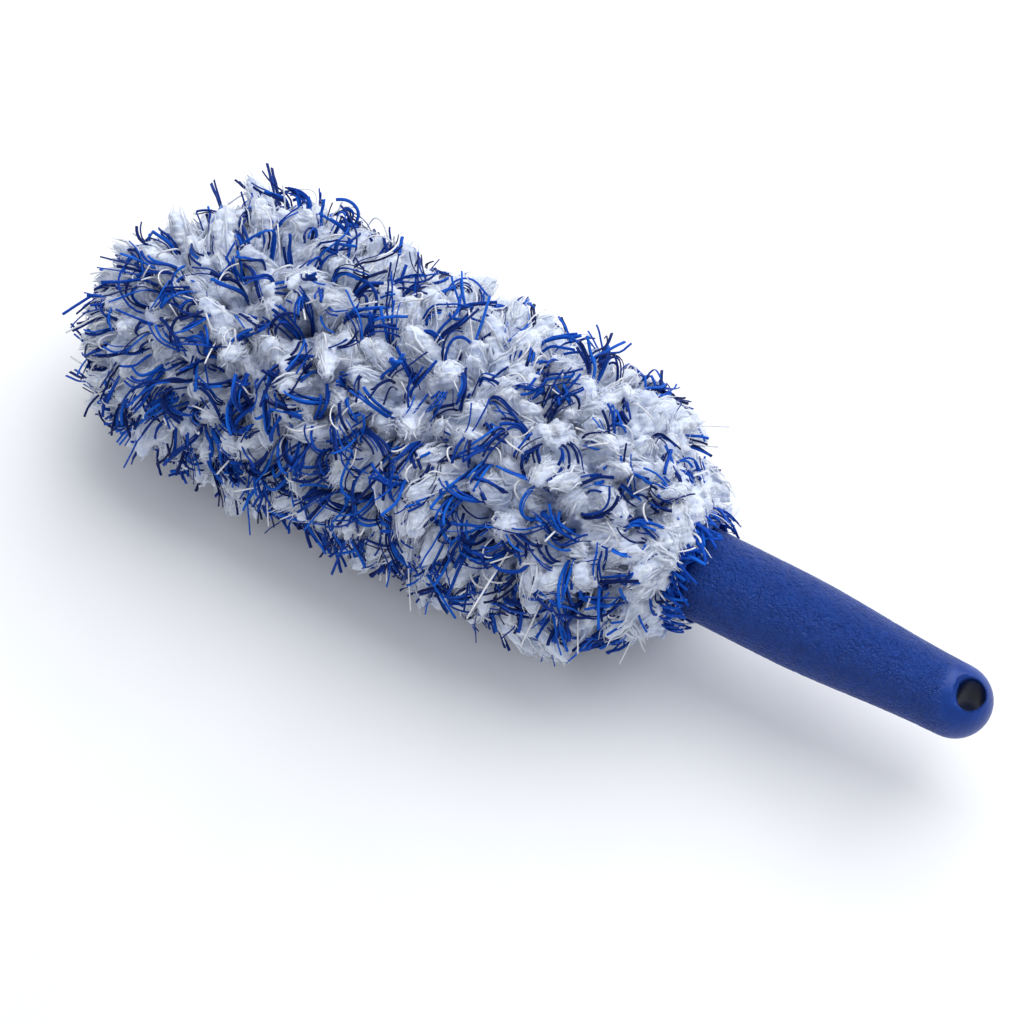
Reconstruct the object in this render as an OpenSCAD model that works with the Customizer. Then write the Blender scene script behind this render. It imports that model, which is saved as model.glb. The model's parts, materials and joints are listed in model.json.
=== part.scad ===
// Wheel brush: a moulded handle with a flexible spine and foam pads, in a pull-off sleeve
// of soft pile. It lies along X with the handle towards +X, on the plane z = 0.

/* [Overall] */
// Length from the tip of the pile to the end of the handle
overall_l = 302; // [296:1:310]
// Width of the head over the pile
head_w = 86; // [84:1:90]
// Thickness of the head over the pile
head_t = 70.5; // [69:0.5:74]
// How far the pile flattens under the brush's own weight
rest_flat = 1.5; // [1:0.1:2]

/* [Handle] */
// Length of handle that shows behind the head
grip_l = 94.4; // [92:0.2:98]
// Diameter of the grip
grip_d = 27.4; // [26.8:0.1:28]
// Diameter of the rounded end
knob_d = 21.8; // [21:0.1:23]
// Diameter of the hang hole
hang_hole_d = 8; // [7.6:0.1:9]
// From the end of the handle to the centre of the hang hole
hang_hole_in = 7; // [6.6:0.1:7.8]
// Depth of the groove that holds the cuff
cuff_groove = 0.7; // [0.5:0.1:0.9]

/* [Spine] */
// Width of the flexible blade
blade_w = 40; // [36:1:41]
// Thickness of the flexible blade
blade_t = 5; // [4:0.5:5.5]
// Number of slots that let the blade bend
blade_slots = 4; // [3:1:4]
// Diameter of the tang over its barbs
tang_d = 15.8; // [15:0.1:16.4]

/* [Foam] */
// Width of the two foam pads
foam_w = 48; // [47:0.5:49]
// Thickness of both pads with the blade between them
foam_t = 30; // [29:0.5:31]

/* [Sleeve] */
// Thickness of the knitted backing
backing_t = 1.2; // [0.8:0.1:1.4]
// Width of the turned-in seam allowance
seam_w = 1.7; // [1.3:0.1:1.9]
// Height of the turned-in seam allowance
seam_h = 3; // [2:0.2:4]
// Distance from one stitch to the next
stitch_pitch = 7; // [6:0.5:10]
// Thickness of the sewing thread
thread_d = 0.7; // [0.5:0.1:0.8]
// Width of the cuff's edge binding
binding_l = 5; // [4.6:0.1:5.2]

/* [Hidden] */

// Stations along X
handle_in_cuff = 12.6;
cuff_l = 26.6;
head_taper_l = 57.6;
pile_over_foam = 19.5;
foam_in_mouth = 5;
end_x = overall_l / 2;
tip_x = -overall_l / 2;
neck_x = end_x - grip_l;
hole_x = end_x - hang_hole_in;
handle_front_x = neck_x - handle_in_cuff;
mouth_x = neck_x - cuff_l;
taper_x = neck_x - head_taper_l;
foam_rear_x = mouth_x - foam_in_mouth;
foam_tip_x = tip_x + pile_over_foam;
binding_x = neck_x - binding_l;

// Heights: the brush's axis runs at axis_z, and half_t reaches a little below the table,
// where the pile is flattened
half_w = head_w / 2;
half_t = (head_t + rest_flat) / 2;
axis_z = half_t - rest_flat;

// Round forms of the head
nose_l = 31;
foam_nose_l = 24;
foam_n = 2.6;
pile_n = 2.15;
pile_neck_r = 14;

// Clearances
clear_side = 2.5;
clear_flat = 0.6;
skin_gap = 0.05;
slide_gap = 0.4;

// Sleeve's inner space
cavity_w = foam_w / 2 + clear_side;
cavity_t = foam_t / 2 + clear_flat;
cuff_r = grip_d / 2 + slide_gap;

// Handle
grip_r = grip_d / 2;
knob_r = knob_d / 2;
grip_taper_l = 66;
grip_taper_x = end_x - grip_taper_l;
grip_taper_steps = 12;
knob_x = end_x - knob_r;
front_bevel = 1;
groove_ramp = 0.6;
rim_r = 1.2;
rim_half_z = 9.7;
socket_r = tang_d / 2 + 0.1;
socket_l = 62;
cut_over = 1;
bore_over = 20;

// Spine
blade_in_foam = 5;
blade_full_l = 16;
blade_neck_l = 8;
tang_core_r = 6.2;
tang_nose = 1.5;
barb_l = 7;
barb_ramp = 0.8;
barb_flat = 1.2;
barb_back = 5.5;
barbs = 6;
first_barb = 3;
shoulder_r = 12;
shoulder_l = 2.5;
shoulder_cone_l = 13.5;
slot_l = 22;
slot_w = 11;
slot_pitch = 34;
foam_rear_r = 8;
blade_pocket = 0.3;

// Seams, cuff and its binding
seam_gap = 0.35;
seam_mouth_gap = 1;
thread_mouth_gap = 3;
stitch_share = 0.6;
cuff_steps = 7;
join_stitches = 32;
join_stitch_l = 4;
binding_r = grip_r - cuff_groove + slide_gap;
binding_wall = 0.9;
elastic_t = 1.4;
binding_stitches = 26;
binding_stitch_l = 2.4;

// Facets
arc_steps = 24;
cap_steps = 7;
last_phi = 84;
straight_xs = [
    for (share = [0, 0.11, 0.22, 0.33, 0.44, 0.55, 0.7, 0.85, 1])
    mouth_x + share * (taper_x - mouth_x)
];

function flat(lists) = [for (list = lists) for (item = list) item];
function quad(a, b, c, d) = [[a, b, c], [a, c, d]];
function power(value, exponent) = sign(value) * pow(abs(value), exponent);

// A point of an oval at x: w and t are its half sizes, n its squareness, and no point
// of it lies below the table
function oval_point(x, w, t, n, angle) = [
    x,
    w * power(cos(angle), 2 / n),
    max(axis_z + t * power(sin(angle), 2 / n), 0)
];
function oval_arc(x, w, t, n, from, to, steps) = [
    for (k = [0:steps]) oval_point(x, w, t, n, from + (to - from) * k / steps)
];
function oval_ring(x, w, t, n) = [
    for (k = [0:2 * arc_steps - 1]) oval_point(x, w, t, n, 180 * k / arc_steps)
];

// The pile's half size at x, before its nose: full up to taper_x, then a round shoulder
// down to the neck
function pile_half(x, full) =
    let (u = max(x - taper_x, 0) / (neck_x - taper_x))
    pile_neck_r + (full - pile_neck_r) * sqrt(1 - u * u);

// Rows of a half shell from the mouth to the nose, which is an ellipse of length l that
// ends at x = tip: tapers says whether the half sizes w and t fall towards the neck
function shell_rows(w, t, n, from, tip, l, tapers) = concat(
    [
        for (x = straight_xs)
        oval_arc(x, tapers ? pile_half(x, w) : w, tapers ? pile_half(x, t) : t,
            n, from, from + 180, arc_steps)
    ],
    [
        for (k = [0:cap_steps - 1])
        let (phi = last_phi * k / (cap_steps - 1))
        oval_arc(tip + l - l * sin(phi), w * cos(phi), t * cos(phi),
            n, from, from + 180, arc_steps)
    ]
);

// Half of a closed-ended sleeve: an outer and an inner skin with a mouth and two side faces
module half_shell(outer, outer_tip, inner, inner_tip) {
    rows = len(outer);
    cols = len(outer[0]);
    last = rows - 1;
    side = cols - 1;
    out_pole = rows * cols;
    base = out_pole + 1;
    in_pole = base + rows * cols;
    function o(i, j) = i * cols + j;
    function p(i, j) = base + i * cols + j;
    faces = flat(concat(
        [for (i = [0:last - 1]) for (j = [0:side - 1])
            quad(o(i, j), o(i, j + 1), o(i + 1, j + 1), o(i + 1, j))],
        [for (i = [0:last - 1]) for (j = [0:side - 1])
            quad(p(i, j), p(i + 1, j), p(i + 1, j + 1), p(i, j + 1))],
        [for (j = [0:side - 1]) [
            [o(last, j), o(last, j + 1), out_pole],
            [p(last, j + 1), p(last, j), in_pole]
        ]],
        [for (j = [0:side - 1]) quad(o(0, j + 1), o(0, j), p(0, j), p(0, j + 1))],
        [for (i = [0:last - 1]) concat(
            quad(o(i, 0), o(i + 1, 0), p(i + 1, 0), p(i, 0)),
            quad(o(i + 1, side), o(i, side), p(i, side), p(i + 1, side))
        )],
        [quad(o(last, 0), out_pole, in_pole, p(last, 0))],
        [quad(out_pole, o(last, side), p(last, side), in_pole)]
    ));
    polyhedron(points = concat(flat(outer), [outer_tip], flat(inner), [inner_tip]),
        faces = faces, convexity = 4);
}

// An open-ended tube between an outer and an inner list of rings
module ring_tube(outer, inner) {
    rows = len(outer);
    cols = len(outer[0]);
    last = rows - 1;
    base = rows * cols;
    function o(i, j) = i * cols + j % cols;
    function p(i, j) = base + i * cols + j % cols;
    faces = flat([
        for (j = [0:cols - 1]) concat(
            quad(o(0, j + 1), o(0, j), p(0, j), p(0, j + 1)),
            quad(o(last, j), o(last, j + 1), p(last, j + 1), p(last, j)),
            flat([for (i = [0:last - 1]) concat(
                quad(o(i, j), o(i, j + 1), o(i + 1, j + 1), o(i + 1, j)),
                quad(p(i, j), p(i + 1, j), p(i + 1, j + 1), p(i, j + 1))
            )])
        )
    ]);
    polyhedron(points = concat(flat(outer), flat(inner)), faces = faces, convexity = 4);
}

// A solid skinned over closed loops of points
module skinned(loops) {
    rows = len(loops);
    cols = len(loops[0]);
    function o(i, j) = i * cols + j % cols;
    sides = flat([
        for (i = [0:rows - 2]) for (j = [0:cols - 1])
        quad(o(i, j), o(i, j + 1), o(i + 1, j + 1), o(i + 1, j))
    ]);
    first = [for (j = [cols - 1:-1:0]) o(0, j)];
    end = [for (j = [0:cols - 1]) o(rows - 1, j)];
    polyhedron(points = flat(loops), faces = concat(sides, [first, end]), convexity = 4);
}

// Turns a shape made round Z so that it lies round the brush's axis
module along_axis() {
    translate([0, 0, axis_z]) rotate([0, 90, 0]) children();
}

// Half profile of the handle, as [radius, x]
function grip_taper(x) =
    let (u = (x - grip_taper_x) / (knob_x - grip_taper_x))
    grip_r + (knob_r - grip_r) * u * u * (3 - 2 * u);
handle_profile = concat(
    [
        [0, handle_front_x],
        [grip_r - front_bevel, handle_front_x],
        [grip_r, handle_front_x + front_bevel],
        [grip_r, binding_x - slide_gap - groove_ramp],
        [grip_r - cuff_groove, binding_x - slide_gap],
        [grip_r - cuff_groove, neck_x + slide_gap],
        [grip_r, neck_x + slide_gap + groove_ramp],
        [grip_r, grip_taper_x]
    ],
    [
        for (k = [1:grip_taper_steps - 1])
        let (x = grip_taper_x + (knob_x - grip_taper_x) * k / grip_taper_steps)
        [grip_taper(x), x]
    ],
    [for (phi = [0:10:80]) [knob_r * cos(phi), knob_x + knob_r * sin(phi)]],
    [[0, end_x]]
);

// The flare that rounds one mouth of the hang hole
module hole_flare() {
    flare = [for (phi = [0:15:90]) [
        hang_hole_d / 2 + rim_r * (1 - cos(phi)),
        rim_half_z - rim_r + rim_r * sin(phi)
    ]];
    rotate_extrude($fn = 48)
        polygon(concat(
            [[0, rim_half_z - rim_r]],
            flare,
            [[hang_hole_d / 2 + rim_r, bore_over], [0, bore_over]]
        ));
}

module handle() {
    color([0.10, 0.20, 0.52])
    difference() {
        along_axis() rotate_extrude($fn = 72) polygon(handle_profile);
        translate([handle_front_x - cut_over, 0, 0]) along_axis()
            cylinder(r = socket_r, h = socket_l + cut_over, $fn = 48);
        translate([hole_x, 0, axis_z])
            cylinder(d = hang_hole_d, h = 2 * bore_over, center = true, $fn = 48);
        for (side = [0, 180])
            translate([hole_x, 0, axis_z]) rotate([side, 0, 0]) hole_flare();
    }
}

// Barbed tang, as [radius, distance behind the shoulder]
tang_l = first_barb + barb_l * barbs + 2 * tang_nose;
tang_profile = concat(
    [[0, 0]],
    flat([for (k = [0:barbs - 1]) [
        [tang_core_r, first_barb + barb_l * k],
        [tang_d / 2, first_barb + barb_ramp + barb_l * k],
        [tang_d / 2, first_barb + barb_ramp + barb_flat + barb_l * k],
        [tang_core_r, first_barb + barb_ramp + barb_back + barb_l * k]
    ]]),
    [[tang_core_r - tang_nose, tang_l], [0, tang_l]]
);

blade_tip_x = foam_tip_x + blade_in_foam + blade_w / 2;
module blade_bar(x, width) {
    translate([x, 0]) square([1, width], center = true);
}
module blade_outline() {
    hull() {
        translate([blade_tip_x, 0]) circle(d = blade_w, $fn = 64);
        blade_bar(foam_rear_x - blade_full_l, blade_w);
    }
    hull() {
        blade_bar(foam_rear_x - blade_full_l, blade_w);
        blade_bar(handle_front_x - blade_neck_l, 2 * tang_core_r);
    }
}

module spine() {
    color([0.07, 0.09, 0.13])
    union() {
        translate([0, 0, axis_z - blade_t / 2]) linear_extrude(blade_t)
            difference() {
                blade_outline();
                for (k = [0:blade_slots - 1])
                    translate([blade_tip_x + slot_pitch * k, 0]) {
                        square([slot_l, slot_w], center = true);
                        for (end = [-1, 1])
                            translate([end * slot_l / 2, 0]) circle(d = slot_w, $fn = 32);
                    }
            }
        translate([handle_front_x - shoulder_l - shoulder_cone_l, 0, 0]) along_axis()
            cylinder(r1 = blade_t / 2, r2 = shoulder_r, h = shoulder_cone_l, $fn = 48);
        translate([handle_front_x - shoulder_l, 0, 0]) along_axis()
            cylinder(r = shoulder_r, h = shoulder_l, $fn = 48);
        translate([handle_front_x - cut_over, 0, 0]) along_axis()
            cylinder(r = tang_core_r, h = first_barb + 2 * cut_over, $fn = 48);
        translate([handle_front_x, 0, 0]) along_axis()
            rotate_extrude($fn = 48) polygon(tang_profile);
    }
}

// One foam pad, the upper with side 1 and the lower with side -1
foam_xs = concat(
    [for (phi = [60, 40, 20, 0])
        [foam_rear_x - foam_rear_r + foam_rear_r * sin(phi), (1 + cos(phi)) / 2]],
    [for (phi = [0:12:84]) [
        foam_tip_x + foam_nose_l - foam_nose_l * sin(phi), cos(phi)
    ]]
);
module foam_pad(side) {
    from = side > 0 ? 0 : 180;
    skinned([
        for (station = foam_xs)
        oval_arc(station[0], foam_w / 2 * station[1], foam_t / 2 * station[1] - skin_gap,
            foam_n, from, from + 180, arc_steps)
    ]);
}
module foam_half(side) {
    difference() {
        translate([0, 0, side * skin_gap]) foam_pad(side);
        translate([0, 0, axis_z - blade_t / 2 - skin_gap])
            linear_extrude(blade_t + 2 * skin_gap) offset(delta = blade_pocket) blade_outline();
    }
}

module foam_front() {
    color([0.16, 0.16, 0.18]) foam_half(1);
}

module foam_back() {
    color([0.16, 0.16, 0.18]) foam_half(-1);
}

// Tips of the sleeve's layers, and where their noses start
cavity_tip_x = foam_tip_x - clear_side;
backing_tip_x = cavity_tip_x - backing_t;
nose_x = foam_tip_x + foam_nose_l;

function cavity_rows(grow, from) = shell_rows(cavity_w + grow, cavity_t + grow, foam_n,
    from, cavity_tip_x - grow, foam_nose_l + clear_side + grow, false);

module backing(from) {
    half_shell(cavity_rows(backing_t, from), [backing_tip_x, 0, axis_z],
        cavity_rows(0, from), [cavity_tip_x, 0, axis_z]);
}

module backing_front() {
    color([0.04, 0.20, 0.62]) translate([0, 0, skin_gap]) backing(0);
}

module backing_back() {
    color([0.04, 0.20, 0.62]) translate([0, 0, -skin_gap]) backing(180);
}

module pile(from) {
    half_shell(
        shell_rows(half_w, half_t, pile_n, from, tip_x, nose_l, true),
        [tip_x, 0, axis_z],
        cavity_rows(backing_t + 2 * skin_gap, from),
        [backing_tip_x - 2 * skin_gap, 0, axis_z]
    );
}

module pile_front() {
    color([0.86, 0.88, 0.93]) translate([0, 0, skin_gap]) pile(0);
}

module pile_back() {
    color([0.80, 0.83, 0.90]) pile(180);
}

// Plan of the turned-in seam allowance: grow moves its line out from the cavity's own
function seam_line(grow) =
    let (w = cavity_w + grow, l = foam_nose_l + clear_side + grow)
    concat(
        [[mouth_x - seam_mouth_gap, w]],
        [for (k = [0:cap_steps - 1]) let (phi = last_phi * k / (cap_steps - 1))
            [nose_x - l * sin(phi), w * cos(phi)]],
        [[nose_x - l, 0]]
    );
function mirrored(line) = [for (k = [len(line) - 2:-1:0]) [line[k][0], -line[k][1]]];
function seam_path(grow) = concat(seam_line(grow), mirrored(seam_line(grow)));
function reversed(list) = [for (k = [len(list) - 1:-1:0]) list[k]];

module side_seam() {
    color([0.05, 0.16, 0.50])
    translate([0, 0, axis_z - seam_h / 2]) linear_extrude(seam_h)
        polygon(concat(
            seam_path(-seam_gap),
            reversed(seam_path(-seam_gap - seam_w))
        ));
}

// One stitch: a short round bar along X, centred
module stitch(length) {
    rotate([0, 90, 0]) cylinder(d = thread_d, h = length, center = true, $fn = 16);
}

module seam_thread() {
    line_w = cavity_w - seam_gap - seam_w / 2;
    side_stitches = floor((mouth_x - thread_mouth_gap - nose_x) / stitch_pitch);
    turn = asin(stitch_pitch / line_w);
    turns = floor(90 / turn);
    color([0.88, 0.89, 0.92])
    translate([0, 0, axis_z + seam_h / 2]) {
        for (side = [-1, 1]) for (k = [0:side_stitches - 1])
            translate([nose_x + stitch_pitch * (k + 0.5), side * line_w, 0])
                stitch(stitch_pitch * stitch_share);
        for (k = [-turns:turns])
            translate([nose_x, 0, 0]) rotate([0, 0, 180 + k * turn])
                translate([line_w, 0, 0]) rotate([0, 0, 90])
                    stitch(stitch_pitch * stitch_share);
    }
}

// The cuff's section a share of the way from the sleeve's mouth to its binding
function cuff_ring(share, grow) =
    let (
        ease = share * share * (3 - 2 * share),
        x = mouth_x + 2 * skin_gap + (binding_x - mouth_x - 4 * skin_gap) * share
    )
    oval_ring(x,
        cavity_w + (cuff_r - cavity_w) * ease + grow,
        cavity_t + (cuff_r - cavity_t) * ease + grow,
        foam_n + (2 - foam_n) * ease);
function pile_ring(share) =
    let (x = mouth_x + 2 * skin_gap + (binding_x - mouth_x - 4 * skin_gap) * share)
    oval_ring(x, pile_half(x, half_w), pile_half(x, half_t), pile_n);
cuff_shares = [for (k = [cuff_steps:-1:0]) k / cuff_steps];

module cuff() {
    color([0.05, 0.28, 0.80])
    ring_tube(
        [for (share = cuff_shares) cuff_ring(share, backing_t)],
        [for (share = cuff_shares) cuff_ring(share, 0)]
    );
}

module cuff_pile() {
    color([0.84, 0.87, 0.93])
    ring_tube(
        [for (share = cuff_shares) pile_ring(share)],
        [for (share = cuff_shares) cuff_ring(share, backing_t + 2 * skin_gap)]
    );
}

module cuff_join_thread() {
    color([0.88, 0.89, 0.92])
    for (k = [0:join_stitches - 1])
        translate(oval_point(mouth_x, cavity_w, cavity_t, foam_n,
            360 * (k + 0.5) / join_stitches))
            stitch(join_stitch_l);
}

// Edge binding: a folded band, open towards the handle, with the elastic in its fold
module cuff_binding() {
    color([0.05, 0.28, 0.80])
    translate([binding_x, 0, 0]) along_axis() rotate_extrude($fn = 72)
        difference() {
            translate([binding_r, 0])
                square([binding_wall + elastic_t + skin_gap, binding_l]);
            translate([binding_r - 1, binding_wall])
                square([1 + elastic_t + skin_gap, binding_l - 2 * binding_wall]);
        }
}

module cuff_elastic() {
    color([0.90, 0.90, 0.92])
    translate([binding_x, 0, 0]) along_axis() rotate_extrude($fn = 72)
        translate([binding_r, binding_wall + skin_gap])
            square([elastic_t, binding_l - 2 * binding_wall - 2 * skin_gap]);
}

module binding_thread() {
    thread_r = binding_r + binding_wall + elastic_t + skin_gap;
    color([0.88, 0.89, 0.92])
    translate([binding_x + binding_l / 2, 0, axis_z])
        for (k = [0:binding_stitches - 1])
            rotate([360 * k / binding_stitches, 0, 0]) translate([0, 0, thread_r])
                rotate([0, 0, 90]) stitch(binding_stitch_l);
}

handle();
spine();
foam_front();
foam_back();
backing_front();
backing_back();
pile_front();
pile_back();
side_seam();
seam_thread();
cuff();
cuff_join_thread();
cuff_pile();
cuff_binding();
cuff_elastic();
binding_thread();
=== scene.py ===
import json
import math

import bpy
import numpy as np
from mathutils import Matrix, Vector


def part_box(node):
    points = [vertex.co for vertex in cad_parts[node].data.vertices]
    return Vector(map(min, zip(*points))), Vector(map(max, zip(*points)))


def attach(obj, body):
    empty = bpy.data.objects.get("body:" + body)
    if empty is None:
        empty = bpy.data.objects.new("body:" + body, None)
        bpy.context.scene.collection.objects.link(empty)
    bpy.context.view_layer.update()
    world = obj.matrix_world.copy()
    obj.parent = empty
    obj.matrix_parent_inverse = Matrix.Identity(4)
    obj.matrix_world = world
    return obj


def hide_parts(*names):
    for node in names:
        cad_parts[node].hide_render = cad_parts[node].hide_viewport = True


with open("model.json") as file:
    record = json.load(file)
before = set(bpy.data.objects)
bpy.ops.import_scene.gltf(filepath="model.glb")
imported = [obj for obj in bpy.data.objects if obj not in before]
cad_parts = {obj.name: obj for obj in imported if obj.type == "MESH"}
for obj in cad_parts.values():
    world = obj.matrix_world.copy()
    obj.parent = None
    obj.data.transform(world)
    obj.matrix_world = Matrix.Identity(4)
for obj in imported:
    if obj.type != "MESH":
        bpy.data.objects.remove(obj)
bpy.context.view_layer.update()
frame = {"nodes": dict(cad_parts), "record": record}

MM = 0.001
rng = np.random.default_rng(7)

# ---------------------------------------------------------------- driving places, from the frame

pile_lo, pile_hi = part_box("pile_front")
backing_lo, backing_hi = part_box("backing_front")
cuff_lo, cuff_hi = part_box("cuff")
binding_lo, binding_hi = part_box("cuff_binding")
handle_lo, handle_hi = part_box("handle")
hole_at = Vector(frame["record"]["mounts"][0]["pos_m"])
AXIS_Z = (handle_lo.z + handle_hi.z) / 2
FLOOR_GAP = 0.35 * MM        # the lowest yarns lie this far above the table
SUNK = 6 * MM                # yarns up to this far below the table are pressed flat on it
PROUD = 8.0 * MM             # the pile stands this far past its CAD solid before it is eased in
PROUD_SOFT = 3.4 * MM        # and at most this much further

# The pile's outer form: full between its nose and its shoulder
TIP_X = pile_lo.x
MOUTH_X = pile_hi.x          # the panels' pile ends here, and the cuff's begins
NECK_X = binding_hi.x
NOSE_X = TIP_X + 31 * MM
SHOULDER_X = NECK_X - 57.6 * MM
HALF_W = pile_hi.y
HALF_T = pile_hi.z - AXIS_Z
NECK_R = 14 * MM
PILE_N = 2.15                # power of the oval section: 2 is an ellipse, and more is squarer

# Where the photograph's brush isn't the plain form: slimmer or fuller on its +Y side
NOSE_SLIM = 8 * MM
NOSE_SLIM_X = -85 * MM
NOSE_SLIM_L = 45 * MM
CREST_X = -98 * MM
CREST_L = 20 * MM
NAPE_X = 26 * MM
NAPE_L = 14 * MM

# The backing under it
BACK_W = backing_hi.y
BACK_T = backing_hi.z - AXIS_Z
BACK_TIP_X = backing_lo.x
BACK_NOSE_X = BACK_TIP_X + 27.7 * MM
BACK_N = 2.6
NOSE_ROOTS_L = 12 * MM       # the nose's tufts also grow from this far behind the backing's nose
CUFF_R = -binding_lo.y


# ---------------------------------------------------------------- small numpy helpers

def unit(v):
    return v / np.maximum(np.linalg.norm(v, axis=-1, keepdims=True), 1e-12)


def dot(a, b):
    return (a * b).sum(-1, keepdims=True)


def smooth_step(t):
    t = np.clip(t, 0, 1)
    return t * t * (3 - 2 * t)


def waves(points, wavelength, seed, count=7):
    """A smooth random field from -1 to 1, as a sum of sine waves of about one wavelength."""
    own = np.random.default_rng(seed)
    way = unit(own.normal(size=(count, 3)))
    size = 2 * math.pi / wavelength * own.uniform(0.7, 1.4, count)
    start = own.uniform(0, 2 * math.pi, count)
    return np.sin(points @ (way * size[:, None]).T + start).mean(-1) * 1.6


def wave_vectors(points, wavelength, seed):
    return np.stack([waves(points, wavelength, seed + k) for k in range(3)], -1)


# ---------------------------------------------------------------- the head's outer form

def outer_scale(x):
    """Share of the full half size that the pile has at x, behind its nose."""
    u = np.clip((x - SHOULDER_X) / (NECK_X - SHOULDER_X), 0, 0.99)
    neck = NECK_R / HALF_W
    return neck + (1 - neck) * np.sqrt(1 - u * u)


def oval_size(y, z, w, t, n):
    return (np.abs(y / w) ** n + np.abs(z / t) ** n) ** (1 / n)


def onto_pile(p, lift=0.0):
    """Moves points to the pile's outer form, and lift further out."""
    x, y, z = p[..., 0], p[..., 1], p[..., 2] - AXIS_Z
    rho = oval_size(y, z, HALF_W, HALF_T, PILE_N) / outer_scale(x)
    nose_l = (NOSE_X - TIP_X) * np.ones_like(x)
    ahead = np.clip((NOSE_X - x) / nose_l, 0, None)
    size = np.maximum(np.sqrt(rho * rho + ahead * ahead), 1e-6)
    centre = np.stack([np.maximum(x, NOSE_X), 0 * x, AXIS_Z + 0 * x], -1)
    out = centre + (p - centre) / size[..., None]
    way = unit(out - centre)
    slim = NOSE_SLIM * smooth_step((NOSE_SLIM_X - out[..., 0]) / NOSE_SLIM_L)
    slim = slim * smooth_step(0.5 + out[..., 1] / HALF_W * 0.9)
    return out + way * (np.asarray(lift) - slim)[..., None]


def pile_normal(p):
    x, y, z = p[..., 0], p[..., 1], p[..., 2] - AXIS_Z
    w, t = HALF_W * outer_scale(x), HALF_T * outer_scale(x)
    n_y = np.sign(y) * np.abs(y / w) ** (PILE_N - 1) / w
    n_z = np.sign(z) * np.abs(z / t) ** (PILE_N - 1) / t
    nose_l = NOSE_X - TIP_X
    n_x = -np.clip((NOSE_X - x) / nose_l, 0, 1) / nose_l
    n_x = n_x + np.clip((x - SHOULDER_X) / (NECK_X - SHOULDER_X), 0, 1) ** 3 * 1.1 / HALF_W
    return unit(np.stack([n_x, n_y, n_z], -1))


def root_of(p):
    """The point of the backing or the cuff that a tuft which ends near p grows from."""
    x, y, z = p[..., 0], p[..., 1], p[..., 2] - AXIS_Z
    share = np.clip((BACK_NOSE_X + NOSE_ROOTS_L - x) / (BACK_NOSE_X + NOSE_ROOTS_L - TIP_X), 0, 1)
    ahead = np.sin(share * math.pi / 2) ** 1.3
    root_x = np.where(share > 0, BACK_NOSE_X + NOSE_ROOTS_L * (1 - share), x)
    root_x = np.where(share > 0, root_x - (BACK_NOSE_X - BACK_TIP_X) * ahead, root_x)
    into_nose = np.clip(BACK_NOSE_X - root_x, 0, None) / (BACK_NOSE_X - BACK_TIP_X)
    scale = np.sqrt(np.clip(1 - into_nose ** 2, 0, 1))
    root_x = np.minimum(root_x, cuff_hi.x - 1 * MM)
    ease = smooth_step((root_x - cuff_lo.x) / (cuff_hi.x - cuff_lo.x))
    w = BACK_W + (CUFF_R - BACK_W) * ease
    t = BACK_T + (CUFF_R - BACK_T) * ease
    n = BACK_N + (2 - BACK_N) * ease
    size = oval_size(y, z, w, t, n)
    return np.stack([root_x, y / size * scale, AXIS_Z + z / size * scale], -1)


PILE_AREA = 60000 * MM * MM
DARTS_PER_PLACE = 14


def spread_on_pile(spacing, own):
    """Points on the pile's outer form, no two nearer than spacing: darts, nearest rejected."""
    kept = np.zeros((0, 3))
    count = int(PILE_AREA / (spacing * spacing) * DARTS_PER_PLACE)
    x = own.uniform(TIP_X - 12 * MM, NECK_X - 4.0 * MM, count)
    angle = own.uniform(0, 2 * math.pi, count)
    ball = unit(own.normal(size=(count, 3)))
    tube = np.stack([x, HALF_W * np.cos(angle), AXIS_Z + HALF_T * np.sin(angle)], -1)
    nose = np.array([NOSE_X, 0, AXIS_Z]) + ball * HALF_W
    darts = onto_pile(np.where((x < NOSE_X)[:, None], nose, tube))
    darts = darts[(darts[:, 0] < NOSE_X) | (x >= NOSE_X)]
    for dart in darts:
        if len(kept) == 0 or ((kept - dart) ** 2).sum(1).min() > spacing * spacing:
            kept = np.vstack([kept, dart])
    return kept


# ---------------------------------------------------------------- mesh building

def give_values(me, values):
    """Stores one number for each vertex under each name, for the materials to read."""
    for key, value in values.items():
        layer = me.attributes.new(key, "FLOAT", "POINT")
        layer.data.foreach_set("value", np.asarray(value, np.float32).ravel())


def mesh_object(name, verts, polygons, values=None):
    """A mesh object from numpy arrays: polygons is a list of index arrays, each (count, corners)."""
    me = bpy.data.meshes.new(name)
    me.vertices.add(len(verts))
    me.vertices.foreach_set("co", np.asarray(verts, np.float32).ravel())
    corners = np.concatenate([p.ravel() for p in polygons])
    sizes = np.concatenate([np.full(len(p), p.shape[1]) for p in polygons])
    me.loops.add(len(corners))
    me.loops.foreach_set("vertex_index", corners.astype(np.int32))
    me.polygons.add(len(sizes))
    me.polygons.foreach_set("loop_start", (np.cumsum(sizes) - sizes).astype(np.int32))
    me.update(calc_edges=True)
    me.polygons.foreach_set("use_smooth", np.full(len(sizes), True))
    give_values(me, values or {})
    ob = bpy.data.objects.new(name, me)
    bpy.context.scene.collection.objects.link(ob)
    return ob


def copied(name, source):
    ob = bpy.data.objects.new(name, frame["nodes"][source].data.copy())
    bpy.context.scene.collection.objects.link(ob)
    ob.data.materials.clear()
    return ob


def applied(ob):
    """Replaces the mesh by what its modifiers make of it."""
    graph = bpy.context.evaluated_depsgraph_get()
    made = bpy.data.meshes.new_from_object(ob.evaluated_get(graph))
    ob.modifiers.clear()
    ob.data = made
    made.polygons.foreach_set("use_smooth", np.full(len(made.polygons), True))
    return ob


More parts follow.
